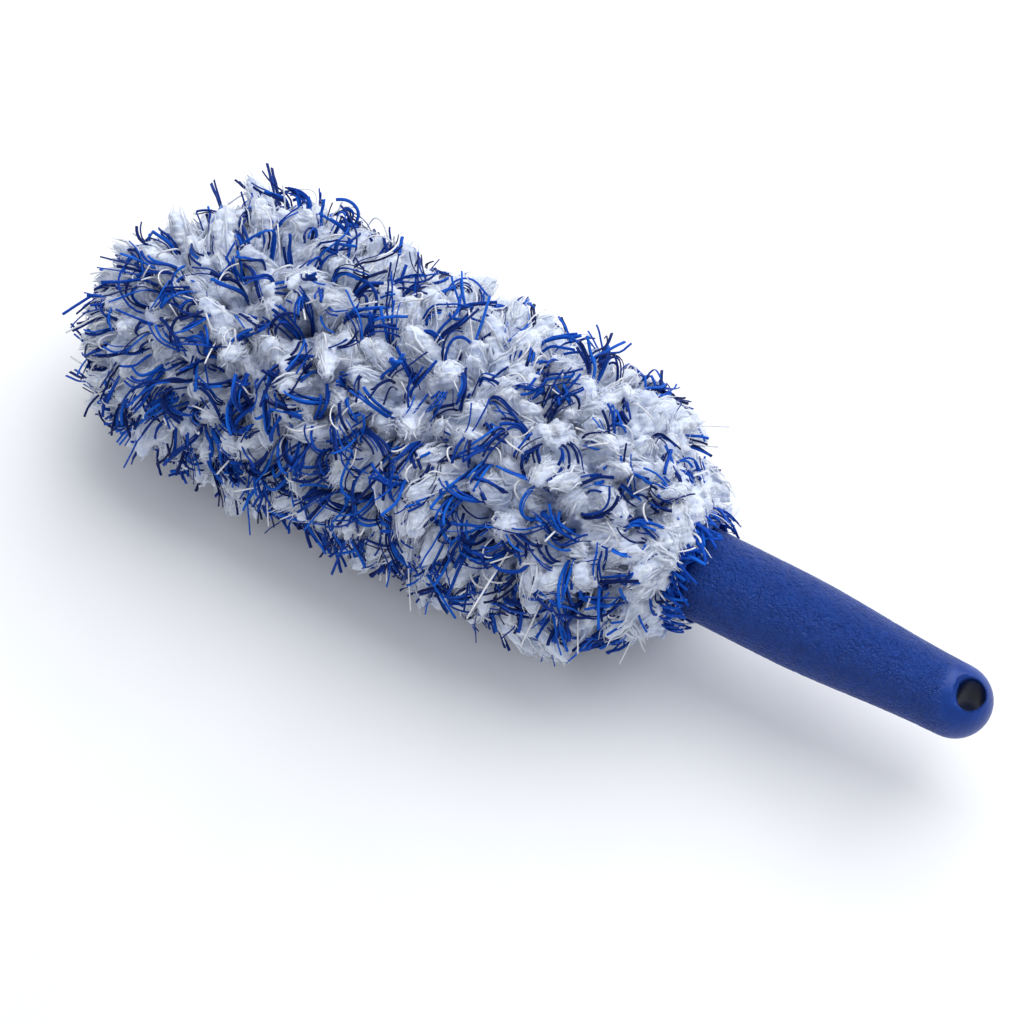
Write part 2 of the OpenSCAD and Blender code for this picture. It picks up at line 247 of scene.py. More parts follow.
def melted(ob, voxel, smoothing):
    """Rebuilds the mesh as one skin of small even faces, and smooths it."""
    grid = ob.modifiers.new("grid", "REMESH")
    grid.mode = "VOXEL"
    grid.voxel_size = voxel
    soft = ob.modifiers.new("soft", "SMOOTH")
    soft.iterations = smoothing
    soft.factor = 0.5
    return applied(ob)


def remeshed(name, source, voxel, smoothing):
    """A CAD node's solid as one fine skin that can take small relief."""
    ob = copied(name, source)
    weld = ob.modifiers.new("weld", "WELD")
    weld.merge_threshold = 0.002 * MM
    return melted(ob, voxel, smoothing)


def places(ob):
    co = np.zeros(len(ob.data.vertices) * 3, np.float32)
    ob.data.vertices.foreach_get("co", co)
    return co.reshape(-1, 3).astype(float)


def normals(ob):
    no = np.zeros(len(ob.data.vertices) * 3, np.float32)
    ob.data.vertices.foreach_get("normal", no)
    return no.reshape(-1, 3).astype(float)


def moved_to(ob, co):
    ob.data.vertices.foreach_set("co", co.astype(np.float32).ravel())
    ob.data.update()


def carried_frames(paths, start):
    """Tangent, normal and side vectors along paths (n, k, 3): start is carried along without twist."""
    tangent = unit(np.gradient(paths, axis=1))
    normal = np.zeros_like(paths)
    now = start
    for k in range(paths.shape[1]):
        now = unit(now - tangent[:, k] * dot(now, tangent[:, k]))
        normal[:, k] = now
    return tangent, normal, np.cross(tangent, normal)


def tube_mesh(paths, radius, sides, start, thin=1.0, shade=None):
    """Closed tubes along paths (n, k, 3), thin times as thick along their normal as they are wide."""
    n, k, _ = paths.shape
    _, normal, side = carried_frames(paths, start)
    angle = 2 * math.pi * (np.arange(sides) + 0.5) / sides
    up = normal[:, :, None] * np.sin(angle)[:, None] * thin
    ring = side[:, :, None] * np.cos(angle)[:, None] + up
    verts = paths[:, :, None] + ring * radius[:, :, None, None]
    base = (np.arange(n) * k * sides)[:, None, None]
    row = (np.arange(k - 1) * sides)[None, :, None]
    here = np.arange(sides)[None, None, :]
    there = (here + 1) % sides
    quads = np.stack([base + row + here, base + row + there,
        base + row + sides + there, base + row + sides + here], -1).reshape(-1, 4)
    first = (np.arange(n) * k * sides)[:, None] + np.arange(sides)[::-1]
    last = (np.arange(n) * k * sides + (k - 1) * sides)[:, None] + np.arange(sides)
    along = np.broadcast_to(np.linspace(0, 1, k)[None, :, None], (n, k, sides))
    tone = np.broadcast_to((rng.random(n) if shade is None else shade)[:, None, None], (n, k, sides))
    return verts.reshape(-1, 3), [quads, first, last], {"along": along, "shade": tone}


def joined(parts):
    """One mesh's arrays from several: each part is (verts, polygons, values)."""
    verts, polygons, values, at = [], [], {"along": [], "shade": []}, 0
    for v, ps, vals in parts:
        verts.append(v)
        polygons += [p + at for p in ps]
        at += len(v)
        for key in values:
            values[key].append(np.asarray(vals[key]).ravel())
    return np.concatenate(verts), polygons, {key: np.concatenate(v) for key, v in values.items()}


def above_floor(verts):
    """Presses what would reach below the table flat on it."""
    low = verts[:, 2] < FLOOR_GAP * 3
    share = np.maximum(verts[low, 2] + SUNK, 0) / (FLOOR_GAP * 3 + SUNK)
    verts[low, 2] = FLOOR_GAP + share * FLOOR_GAP * 2
    return verts


def within_reach(verts):
    """Eases in what would stand further to the sides or above than fabric may stand proud."""
    for axis, knee in ((1, pile_hi.y + PROUD), (2, pile_hi.z + PROUD)):
        over = np.maximum(np.abs(verts[:, axis]) - knee, 0)
        back = over - PROUD_SOFT * (1 - np.exp(-over / PROUD_SOFT))
        verts[:, axis] -= np.sign(verts[:, axis]) * back
    return above_floor(verts)


def dress(ob, material, body, replaces=()):
    ob.data.materials.append(material)
    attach(ob, body)
    if replaces:
        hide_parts(*replaces)
    return ob


# ---------------------------------------------------------------- materials

def new_material(name, rough, specular=0.5, sheen=0.0):
    m = bpy.data.materials.new(name)
    m.use_nodes = True
    shader = m.node_tree.nodes["Principled BSDF"]
    shader.inputs["Roughness"].default_value = rough
    shader.inputs["Specular IOR Level"].default_value = specular
    shader.inputs["Sheen Weight"].default_value = sheen
    return m, m.node_tree, shader


def node(tree, kind, **settings):
    made = tree.nodes.new(kind)
    for key, value in settings.items():
        setattr(made, key, value)
    return made


def value_of(tree, name):
    return node(tree, "ShaderNodeAttribute", attribute_name=name).outputs["Fac"]


def object_noise(tree, per_metre, detail=3.0, rough=0.55):
    coords = node(tree, "ShaderNodeTexCoord")
    made = node(tree, "ShaderNodeTexNoise")
    made.inputs["Scale"].default_value = per_metre
    made.inputs["Detail"].default_value = detail
    made.inputs["Roughness"].default_value = rough
    tree.links.new(coords.outputs["Object"], made.inputs["Vector"])
    return made.outputs["Fac"]


def ramp(tree, source, stops):
    made = node(tree, "ShaderNodeValToRGB")
    points = made.color_ramp.elements
    while len(points) < len(stops):
        points.new(0.5)
    for point, (at, colour) in zip(points, stops):
        point.position = at
        point.color = (*colour, 1)
    tree.links.new(source, made.inputs["Fac"])
    return made.outputs["Color"]


def maths(tree, operation, a, b):
    made = node(tree, "ShaderNodeMath", operation=operation)
    for socket, value in zip(made.inputs, (a, b)):
        if isinstance(value, (int, float)):
            socket.default_value = value
        else:
            tree.links.new(value, socket)
    return made.outputs[0]


def times(tree, a, b, factor=1.0):
    made = node(tree, "ShaderNodeMix", data_type="RGBA", blend_type="MULTIPLY")
    made.inputs["Factor"].default_value = factor
    tree.links.new(a, made.inputs["A"])
    tree.links.new(b, made.inputs["B"])
    return made.outputs["Result"]


def bump(tree, shader, height, distance, strength=1.0):
    made = node(tree, "ShaderNodeBump")
    made.inputs["Distance"].default_value = distance
    made.inputs["Strength"].default_value = strength
    tree.links.new(height, made.inputs["Height"])
    tree.links.new(made.outputs["Normal"], shader.inputs["Normal"])


def yarn_material(name, root, strands, rough, specular, sheen, patch, soft_depth=0.0):
    """Yarn or fluff: its colour runs from painted shade at the root to full colour at the tip, and
    varies by strand and in soft patches.
    """
    m, tree, shader = new_material(name, rough, specular, sheen)
    strand = ramp(tree, value_of(tree, "shade"), strands)
    # Painted shade: the strand's colour is multiplied by the root colour at its root, fading to none
    # towards its tip.
    up = ramp(tree, value_of(tree, "along"), [(0.1, root), (0.75, (1, 1, 1))])
    soft = ramp(tree, object_noise(tree, 90), [(0.3, (1 - patch,) * 3), (0.7, (1, 1, 1))])
    colour = times(tree, times(tree, strand, up), soft)
    tree.links.new(colour, shader.inputs["Base Color"])
    bump(tree, shader, object_noise(tree, 1300, 4.0, 0.65), 0.6 * MM, 0.7)
    shader.inputs["Subsurface Weight"].default_value = 0.5 if soft_depth else 0.0
    shader.inputs["Subsurface Radius"].default_value = (1.0, 1.0, 1.2)
    shader.inputs["Subsurface Scale"].default_value = soft_depth
    return m


def handle_material():
    """Moulded matt plastic with a leather-like etched grain round the grip, and painted shade inside
    the hang hole.
    """
    m, tree, shader = new_material("moulded_blue", 0.4, 0.30)
    colour = ramp(tree, object_noise(tree, 300), [
        (0.3, (0.0006, 0.031, 0.215)), (0.7, (0.0012, 0.042, 0.275))])
    # Painted shade: the hang hole's bore is drawn darker and less shiny than the rest of the moulding.
    painted_bore_shade = ramp(tree, value_of(tree, "painted_bore_shade"), [(0, (1, 1, 1)), (1, (0.3, 0.3, 0.3))])
    tree.links.new(times(tree, colour, painted_bore_shade), shader.inputs["Base Color"])
    tree.links.new(maths(tree, "MULTIPLY", painted_bore_shade, 0.30), shader.inputs["Specular IOR Level"])
    rough = maths(tree, "MULTIPLY_ADD", object_noise(tree, 900), 0.16)
    rough.node.inputs[2].default_value = 0.30
    tree.links.new(rough, shader.inputs["Roughness"])
    folded = maths(tree, "ABSOLUTE", maths(tree, "SUBTRACT", object_noise(tree, 560, 3.0, 0.6), 0.5), 0)
    ridges = maths(tree, "MULTIPLY", maths(tree, "SUBTRACT", 0.2, folded), value_of(tree, "etched"))
    bump(tree, shader, ridges, 3.0 * MM, 1.0)
    return m


def cloth_material(name, low, high, rough=0.85, rib=1400):
    """Knitted or woven cloth: fine ribs and a slight change of colour."""
    m, tree, shader = new_material(name, rough, 0.3, 0.2)
    colour = ramp(tree, object_noise(tree, 500), [(0.3, low), (0.7, high)])
    tree.links.new(colour, shader.inputs["Base Color"])
    coords = node(tree, "ShaderNodeTexCoord")
    wave = node(tree, "ShaderNodeTexWave", bands_direction="X")
    wave.inputs["Scale"].default_value = rib / (2 * math.pi)
    wave.inputs["Distortion"].default_value = 1.5
    tree.links.new(coords.outputs["Object"], wave.inputs["Vector"])
    bump(tree, shader, wave.outputs["Fac"], 0.15 * MM, 0.6)
    return m


def foam_material():
    """Open-celled foam: small pores, drawn dark as painted shade at the bottom of each pit."""
    m, tree, shader = new_material("charcoal_foam", 0.95, 0.2)
    coords = node(tree, "ShaderNodeTexCoord")
    cells = node(tree, "ShaderNodeTexVoronoi")
    cells.inputs["Scale"].default_value = 900
    tree.links.new(coords.outputs["Object"], cells.inputs["Vector"])
    # Painted shade: darkest near each cell's middle, where the bump sinks it into a pit.
    colour = ramp(tree, cells.outputs["Distance"], [
        (0.1, (0.012, 0.012, 0.014)), (0.5, (0.035, 0.035, 0.040)), (0.9, (0.06, 0.06, 0.066))])
    tree.links.new(colour, shader.inputs["Base Color"])
    bump(tree, shader, cells.outputs["Distance"], 0.4 * MM)
    return m


def spine_material():
    m, tree, shader = new_material("black_nylon", 0.5, 0.4)
    colour = ramp(tree, object_noise(tree, 200), [
        (0.3, (0.010, 0.011, 0.014)), (0.7, (0.018, 0.020, 0.024))])
    tree.links.new(colour, shader.inputs["Base Color"])
    bump(tree, shader, object_noise(tree, 1800, 2.0), 0.04 * MM, 0.5)
    return m


BLUE_STRANDS = [(0, (0.0, 0.008, 0.085)), (0.3, (0.0, 0.026, 0.220)),
    (0.65, (0.001, 0.068, 0.490)), (1, (0.006, 0.145, 0.740))]
# The fluff is white; its bluish tint is painted blue light bounced from the blue yarns, and so is the
# blue of its root colour below.
FLUFF_STRANDS = [(0, (0.65, 0.73, 0.92)), (1, (0.76, 0.82, 0.94))]
THREAD_STRANDS = [(0, (0.80, 0.82, 0.87)), (1, (0.90, 0.91, 0.94))]
# The second colour given to each is its root colour: painted shade that darkens strands deep in the
# pile.
white_fluff = yarn_material("white_fluff", (0.42, 0.53, 0.78), FLUFF_STRANDS,
    rough=0.95, specular=0.1, sheen=0.2, patch=0.12, soft_depth=1.5 * MM)
white_thread = yarn_material("white_thread", (0.6, 0.66, 0.8), THREAD_STRANDS,
    rough=0.4, specular=0.6, sheen=0.0, patch=0.1)
blue_yarn = yarn_material("blue_yarn", (0.30, 0.33, 0.42), BLUE_STRANDS,
    rough=0.55, specular=0.14, sheen=0.0, patch=0.3)
blue_bright = yarn_material("blue_fringe", (0.85, 0.87, 0.9), BLUE_STRANDS[2:],
    rough=0.55, specular=0.14, sheen=0.0, patch=0.2)
blue_cloth = cloth_material("blue_knit", (0.002, 0.060, 0.330), (0.006, 0.110, 0.520))
navy_cloth = cloth_material("navy_knit", (0.002, 0.012, 0.070), (0.004, 0.024, 0.130))
elastic_cloth = cloth_material("white_elastic", (0.62, 0.64, 0.68), (0.76, 0.77, 0.8), rib=2600)
foam_cloth = foam_material()
thread_cloth = cloth_material("sewing_thread", (0.70, 0.72, 0.76), (0.84, 0.85, 0.88), 0.6, rib=5000)


# ---------------------------------------------------------------- white locks

LOCK_STEPS = 18
LOCK_SIDES = 18
LOCK_SPACING = 6.7 * MM
LOCK_R = (3.5 * MM, 5.3 * MM)
CORE_SHARE = 0.97            # of a lock's half width is its solid body; the rest is loose fluff
FLUFF_VOXEL = 0.62 * MM
SIDE_RISE, CREST_RISE, NAPE_DROP, TIP_DROP = 3.2, 7.0, 9.0, 5.0    # mm


def nose_share(p):
    return smooth_step((NOSE_X + 10 * MM - p[:, 0]) / (30 * MM))


def stand_off(p):
    """How far the fluff stands off the plain form: fuller on the +Y side, low at the nape, short at
    the tip."""
    side = p[:, 1] / HALF_W
    crest = np.exp(-((p[:, 0] - CREST_X) / CREST_L) ** 2) * smooth_step(side)
    nape = smooth_step((p[:, 0] - NAPE_X) / NAPE_L) * smooth_step(side + 0.2)
    rise = 0.5 + SIDE_RISE * side + CREST_RISE * crest - NAPE_DROP * nape
    return (rise - TIP_DROP * nose_share(p) ** 2) * MM


def lock_lean(p, normal, own):
    """How far a lock's tip leans from upright: a smooth drift, a droop, and out at both ends."""
    n = len(p)
    drift = wave_vectors(p, 50 * MM, 21) * 9 * MM + own.normal(size=(n, 3)) * 5.5 * MM
    side = 1 - np.abs(normal[:, 2])
    droop = np.zeros((n, 3))
    droop[:, 2] = -(2.5 + 7.5 * side) * MM
    ends = np.zeros((n, 3))
    ends[:, 0] = -13 * MM * nose_share(p)
    ends[:, 0] += 2 * MM * smooth_step((p[:, 0] - MOUTH_X + 14 * MM) / (30 * MM))
    lean = drift * (1 - 0.5 * nose_share(p))[:, None] + droop + ends
    return lean - normal * dot(lean, normal) * 0.75


def held_at_neck(paths, reach):
    """Keeps the pile from running down the handle: what goes past the neck is held back."""
    out = paths.copy()
    over = np.maximum(out[..., 0] - (NECK_X - 3 * MM), 0)
    out[..., 0] += reach * (1 - np.exp(-over / reach)) - over
    return out


def lock_paths(p, own):
    normal = pile_normal(p)
    root = root_of(p)
    lean = lock_lean(p, normal, own)
    height = own.uniform(0.86, 1.04, (len(p), 1))
    p = p + normal * stand_off(p)[:, None]
    t = np.linspace(0, 1, LOCK_STEPS)[None, :, None]
    body = root[:, None] + (p - root)[:, None] * height[:, None] * (1 - (1 - t) ** 1.25)
    sway = wave_vectors(body.reshape(-1, 3), 14 * MM, 5).reshape(body.shape) * 1.6 * MM * t
    return held_at_neck(body + lean[:, None] * t ** 2.1 + sway, 3 * MM), normal


def lock_radius(own, p):
    """Half width along a lock: fullest past the middle, with a soft round end or a long point."""
    n = len(p)
    t = np.linspace(0, 1, LOCK_STEPS)[None, :]
    full = own.uniform(*LOCK_R, (n, 1))
    grow = 1.3 - 0.3 * smooth_step((t - 0.45) / 0.3)
    soft = np.sqrt(np.clip(1 - (np.clip(t - 0.62, 0, None) / 0.385) ** 2.2, 0, 1))
    keen = np.clip((1.03 - t) / 0.6, 0, 1) ** 0.8
    point = np.clip(own.uniform(-0.3, 0.7, n) + 0.8 * nose_share(p), 0, 1)[:, None]
    return full * grow * np.maximum(soft * (1 - point) + keen * point, 0.07)


def lock_cores(paths, radius, normal):
    """Lumpy bodies of the locks, as closed shells that run into one another."""
    verts, polygons, values = tube_mesh(paths, radius, LOCK_SIDES, normal, 0.85)
    n = len(paths)
    grid = verts.reshape(n, LOCK_STEPS, LOCK_SIDES, 3)
    centre = paths[:, :, None]
    lump = waves(verts, 8 * MM, 31) * 0.22 + waves(verts, 4 * MM, 35) * 0.24
    grid = centre + (grid - centre) * (1 + lump.reshape(n, LOCK_STEPS, LOCK_SIDES, 1))
    return grid.reshape(-1, 3), polygons, values


def as_one_fluff(name, cores):
    """The locks' bodies melted into one soft mass with fine lumps."""
    ob = mesh_object(name, cores[0], cores[1])
    melted(ob, FLUFF_VOXEL, smoothing=2)
    co, no = places(ob), normals(ob)
    fine = waves(co, 2.3 * MM, 61, 9) * 0.5 + waves(co, 1.5 * MM, 67, 9) * 0.26
    co = co + no * (fine * MM)[:, None]
    quads = np.zeros(len(ob.data.loops), np.int32)
    ob.data.loops.foreach_get("vertex_index", quads)
    bpy.data.objects.remove(ob)
    # along here is how far out each point of the mass lies, from the backing to the pile's surface: the
    # material paints shade where it is low, deep between the lumps.
    root = root_of(co)
    height = np.linalg.norm(co - root, axis=1) / np.linalg.norm(onto_pile(co) - root, axis=1)
    tone = 0.5 + 0.5 * waves(co, 6 * MM, 71)
    return co, [quads.reshape(-1, 4)], {"along": np.clip(height, 0, 1), "shade": np.clip(tone, 0, 1)}


def strands_on(paths, radius, normal, own, kind):
    """Strands of one kind along each path and round it."""
    n, k, _ = paths.shape
    tangent, up, side = carried_frames(paths, normal)
    which = np.repeat(np.arange(n), kind["count"])
    m = len(which)
    steps = kind["steps"]
    s = np.linspace(0, 1, steps)[None, :]
    t0 = own.uniform(*kind["from"], m)[:, None]
    t1 = own.uniform(*kind["to"], m)[:, None]
    t = t0 + (t1 - t0) * s
    at = np.clip(t, 0, 1) * (k - 1)
    lower = np.minimum(at.astype(int), k - 2)
    part = (at - lower)[..., None]

    def along(values):
        return values[which[:, None], lower] * (1 - part) + values[which[:, None], lower + 1] * part

    turn = own.uniform(0, 2 * math.pi, m)[:, None] + own.normal(size=m)[:, None] * kind["twist"] * t
    place = own.uniform(*kind["depth"], m)[:, None] * along(radius[..., None])[..., 0]
    splay = own.uniform(*kind["splay"], m)[:, None] * s ** 2
    reach = np.maximum(place, 0.25 * MM) + splay
    centre = along(paths) + along(tangent) * (np.clip(t - 1, 0, None) * 14 * MM)[..., None]
    out = along(side) * np.cos(turn)[..., None] + along(up) * (np.sin(turn) * 0.85)[..., None]
    line = centre + out * reach[..., None]
    line += wave_vectors(line.reshape(-1, 3), 5 * MM, 77).reshape(line.shape) * kind["wiggle"]
    line += own.normal(size=(m, steps, 3)) * kind["wiggle"] * 0.2
    thick = own.uniform(*kind["r"], m)[:, None] * (0.25 + 0.75 * np.sin(math.pi * (0.2 + 0.8 * s)))
    verts, polygons, values = tube_mesh(line, thick, kind["sides"], out[:, 0], kind["thin"])
    values["along"] = np.broadcast_to(np.clip(t, 0, 1)[:, :, None], (m, steps, kind["sides"]))
    return verts, polygons, values


WISP = {"count": 19, "steps": 6, "sides": 5, "thin": 0.7, "r": (0.22 * MM, 0.58 * MM),
    "depth": (0.86, 1.08), "from": (0.3, 0.75), "to": (0.7, 1.12), "twist": 1.6,
    "splay": (-0.5 * MM, 2.0 * MM), "wiggle": 0.8 * MM}
FIBRE = {"count": 42, "steps": 5, "sides": 3, "thin": 1.0, "r": (0.06 * MM, 0.11 * MM),
    "depth": (0.92, 1.15), "from": (0.3, 0.9), "to": (0.6, 1.12), "twist": 3.4,
    "splay": (0, 2.4 * MM), "wiggle": 1.1 * MM}


def white_pile(name, p, own):
    """Fluffy locks through the points p: their bodies as one mass, with wisps and fibres on it."""
    paths, normal = lock_paths(p, own)
    radius = lock_radius(own, p)
    cores = as_one_fluff(name, lock_cores(paths, radius * CORE_SHARE, normal))
    wisps = strands_on(paths, radius, normal, own, WISP)
    fibres = strands_on(paths, radius, normal, own, FIBRE)
    verts, polygons, values = joined([cores, wisps, fibres])
    return mesh_object(name, within_reach(verts), polygons, values)


# ---------------------------------------------------------------- blue yarns and white threads

YARN_STEPS = 14
YARN_RISE = 4                # of them on the way up from the backing
STRAND_SHARES = (1.0, 0.85, 0.7, 0.55, 0.4)    # share of the bundles that have each strand
STRAND_R = (0.33 * MM, 0.60 * MM)
THREAD_R = (0.20 * MM, 0.30 * MM)
STANDING_BUNDLES = 0.2       # share of them that stand out; the others lie over the pile
STANDING_THREADS = 0.4


def standing_lines(p, own, over, bow):
    """Paths that stand out from the backing through p, bent a little, ending over the pile."""
    n = len(p)
    normal = pile_normal(p)
    root = root_of(p)
    lean = lock_lean(p, normal, own) * 0.9 + own.normal(size=(n, 3)) * 4.5 * MM
    lean -= normal * dot(lean, normal) * 0.9
    end = p + lean + normal * (stand_off(p)[:, None] + own.uniform(*over, (n, 1)))
    t = np.linspace(0, 1, YARN_STEPS)[None, :, None]
    across = unit(np.cross(normal, own.normal(size=(n, 3))))
    line = root[:, None] + (end - root)[:, None] * t
    line = line - lean[:, None] * 0.7 * np.sin(math.pi * t) * 0.6
    line = line + across[:, None] * np.sin(math.pi * t) * own.uniform(*bow, (n, 1, 1))
    curl = unit(lean + across * own.normal(size=(n, 1)) * 6 * MM)
    line = line + curl[:, None] * (t ** 4) * own.uniform(0, 4 * MM, (n, 1, 1))
    return held_at_neck(line, 6 * MM), normal


def yarn_lines(p, own, reach, turning, lift, stray):
    """Paths that rise from the backing, come out at p and curl over the pile."""
    n = len(p)
    normal = pile_normal(p)
    flow = lock_lean(p, normal, own) + own.normal(size=(n, 3)) * 9 * MM
    ahead = unit(flow - normal * dot(flow, normal))
    across = np.cross(normal, ahead)
    length = own.uniform(*reach, n)
    turn = own.uniform(*turning, n) * own.choice([-1, 1], n)
    steps = YARN_STEPS - YARN_RISE
    s = np.linspace(0, 1, steps)[None, :]
    angle = turn[:, None] * (s - 0.25)
    step = length[:, None] / steps
    forward = np.cumsum(np.cos(angle) * step, 1)
    aside = np.cumsum(np.sin(angle) * step, 1)
    flat = p[:, None] + ahead[:, None] * forward[..., None] + across[:, None] * aside[..., None]
    top = own.uniform(*lift, n)[:, None]
    arch = -1.6 * MM + (top + 1.6 * MM) * np.sin(math.pi * np.clip(s * 0.9 + 0.12, 0, 1)) ** 0.8
    away = -1.2 * MM + s * own.uniform(2.5 * MM, 8.5 * MM, n)[:, None]
    up = np.where(own.random(n)[:, None] < stray, away, arch)
    over = onto_pile(flat, up + stand_off(p)[:, None])
    root = root_of(p)
    climb = np.linspace(0, 0.85, YARN_RISE)[None, :, None]
    rise = root[:, None] + (over[:, :1] - root[:, None]) * climb
    lines = np.concatenate([rise, over], 1)
    for _ in range(4):
        lines[:, 1:-1] = (lines[:, :-2] + 2 * lines[:, 1:-1] + lines[:, 2:]) / 4
    return held_at_neck(lines, 6 * MM), normal


def blue_bundles(name, p, own):
    """Bundles of flat blunt strands."""
    strands = len(STRAND_SHARES)
    standing = own.random(len(p)) < STANDING_BUNDLES
    over = yarn_lines(p[~standing], own, (9 * MM, 18 * MM), (0.1, 2.2), (0.6 * MM, 2.6 * MM), 0.6)
    out = standing_lines(p[standing], own, (0 * MM, 6.5 * MM), (-5 * MM, 5 * MM))
    lines, normal = (np.concatenate(pair) for pair in zip(over, out))
    n = len(lines)
    _, up, side = carried_frames(lines, normal)
    s = np.linspace(0, 1, YARN_STEPS)[None, :, None]
    parts = []
    for k in range(strands):
        aside = (k - (strands - 1) / 2) * 0.80 * MM + own.normal(size=(n, 1, 1)) * 0.4 * MM
        rise = own.normal(size=(n, 1, 1)) * 0.35 * MM
        fan = 0.6 + s * s * own.uniform(0.4, 2.6, (n, 1, 1))
        line = lines + side * aside * fan + up * rise * fan
        line += wave_vectors(line.reshape(-1, 3), 9 * MM, 90 + k).reshape(line.shape) * 0.5 * MM
        ends = own.uniform(0.72, 1.0, n)
        at = np.linspace(0, 1, YARN_STEPS)[None, :] * ends[:, None] * (YARN_STEPS - 1)
        lower = np.minimum(at.astype(int), YARN_STEPS - 2)
        part = (at - lower)[..., None]
        rows = np.arange(n)[:, None]
        line = line[rows, lower] * (1 - part) + line[rows, lower + 1] * part
        width = own.uniform(*STRAND_R, (n, 1)) * np.ones((1, YARN_STEPS))
        roll = unit(normal + own.normal(size=(n, 3)) * 0.5)
        here = own.random(n) < STRAND_SHARES[k]
        parts.append(tube_mesh(line[here], width[here], 6, roll[here], 0.45, own.random(n)[here]))
    verts, polygons, values = joined(parts)
    # Starts the yarns' painted root shade part way, so they darken less towards their roots.
    values["along"] = 0.4 + 0.6 * values["along"]
    return mesh_object(name, within_reach(verts), polygons, values)


def white_threads(name, p, own):
    """Thin glossy threads, one at each point."""
    standing = own.random(len(p)) < STANDING_THREADS
    over = yarn_lines(p[~standing], own, (8 * MM, 15 * MM), (0.6, 3.6), (0.8 * MM, 3.4 * MM), 0.12)
    out = standing_lines(p[standing], own, (0 * MM, 5 * MM), (-4 * MM, 4 * MM))
    lines, normal = (np.concatenate(pair) for pair in zip(over, out))
    width = own.uniform(*THREAD_R, (len(p), 1)) * np.ones((1, YARN_STEPS))
    verts, polygons, values = tube_mesh(lines, width, 6, normal)
    # Starts the threads' painted root shade part way, so they darken less towards their roots.
    values["along"] = 0.4 + 0.6 * values["along"]
    return mesh_object(name, within_reach(verts), polygons, values)


def neck_lines(count, own):
    """Short strands at the edge of the cuff that lie over the start of the handle."""
    angle = own.uniform(0, 2 * math.pi, count)
    swing = own.normal(size=count) * 0.16
    t = np.linspace(0, 1, YARN_STEPS)[None, :]
    x = NECK_X - 7 * MM + t * own.uniform(5 * MM, 13 * MM, count)[:, None]
    r = CUFF_R + 0.5 * MM + np.sin(math.pi * t * 0.8) * own.uniform(0.5 * MM, 3 * MM, count)[:, None]
    around = angle[:, None] + swing[:, None] * t ** 1.5 * 2
    line = np.stack([x, r * np.cos(around), AXIS_Z + r * np.sin(around)], -1)
    return line, np.stack([0 * angle, np.cos(angle), np.sin(angle)], -1)


def neck_fringe(name, count, own, r, thin):
    """The short strands round the neck as one mesh."""
    lines, out = neck_lines(count, own)
    width = own.uniform(*r, (count, 1)) * np.ones((1, YARN_STEPS))
    verts, polygons, values = tube_mesh(lines, width, 6, out, thin)
    return mesh_object(name, verts, polygons, values)


PILE_NODES = ("pile_front", "pile_back", "cuff_pile")
YARN_SPACING = 5.2 * MM
# Extra bundles on the -Y flank, partly painted shade there.
SHADED_FLANK_YARN_SPACING = 6.4 * MM
THREAD_SPACING = 8.6 * MM
LOCKS_IN_PIECE = 38          # keeps each piece under the export's limit of faces
BUNDLES_IN_PIECE = 380


def zone_of(p):
    """Which of PILE_NODES a tuft at p belongs to."""
    return np.where(p[:, 0] > MOUTH_X, 2, np.where(p[:, 2] > AXIS_Z, 0, 1))


def stretches(p, zone, most):
    """The tufts of one zone in stretches along the head, each with no more than most of them."""
    mine = p[zone_of(p) == zone]
    mine = mine[np.argsort(mine[:, 0])]
    return np.array_split(mine, math.ceil(len(mine) / most))


def spread_yarns(own):
    """Places of the blue bundles: fewer on the +Y side and the nose, and more on the -Y side; the yarn
    is real, but this uneven spread is partly painted light and shade, dark yarn massed on the shaded -Y
    flank and thinned on the lit +Y crest.
    """
    yarns = spread_on_pile(YARN_SPACING, own)
    left_out = 0.45 * smooth_step(yarns[:, 1] / HALF_W) + 0.25 * nose_share(yarns)
    yarns = yarns[own.random(len(yarns)) > left_out]
    more = spread_on_pile(SHADED_FLANK_YARN_SPACING, own)
    return np.concatenate([yarns, more[(more[:, 1] < -0.5 * HALF_W) & (more[:, 0] > NOSE_X)]])


def make_pile():
    own = np.random.default_rng(11)
    locks = spread_on_pile(LOCK_SPACING, own)
    yarns = spread_yarns(own)
    threads = spread_on_pile(THREAD_SPACING, own)
    for zone, cad_node in enumerate(PILE_NODES):
        for k, some in enumerate(stretches(locks, zone, LOCKS_IN_PIECE)):
            ob = white_pile(f"white_{cad_node}_{k + 1}", some, own)
            dress(ob, white_fluff, "sleeve", [cad_node])
        for k, some in enumerate(stretches(yarns, zone, BUNDLES_IN_PIECE)):
            ob = blue_bundles(f"blue_{cad_node}_{k + 1}", some, own)
            dress(ob, blue_yarn, "sleeve", [cad_node])
        mine = threads[zone_of(threads) == zone]
        ob = white_threads(f"threads_{cad_node}", mine, own)
        dress(ob, white_thread, "sleeve", [cad_node])
    ob = neck_fringe("neck_fringe_blue", 240, own, r=(0.35 * MM, 0.6 * MM), thin=0.45)
    dress(ob, blue_bright, "sleeve")
    ob = neck_fringe("neck_fringe_white", 60, own, r=(0.10 * MM, 0.22 * MM), thin=0.8)
    dress(ob, white_fluff, "sleeve")


# ---------------------------------------------------------------- handle

def grain_height(co):
    """Leather-like grain: folds a little over 1 mm apart."""
    bent = co + wave_vectors(co, 6 * MM, 41) * 1.2 * MM
    return 1 - 2.2 * np.abs(waves(bent, 3.0 * MM, 47, 9)) + 0.4 * waves(bent, 1.5 * MM, 53, 9)


MOUTH_SPREAD = 1.6 * MM
MOUTH_PINCH = 0.2 * MM
MOUTH_REACH = 9.5 * MM       # round the hole's axis, as far as its mouths are drawn out
MOUTH_DEPTH = 4.5 * MM       # from the handle's axis, where its mouths begin
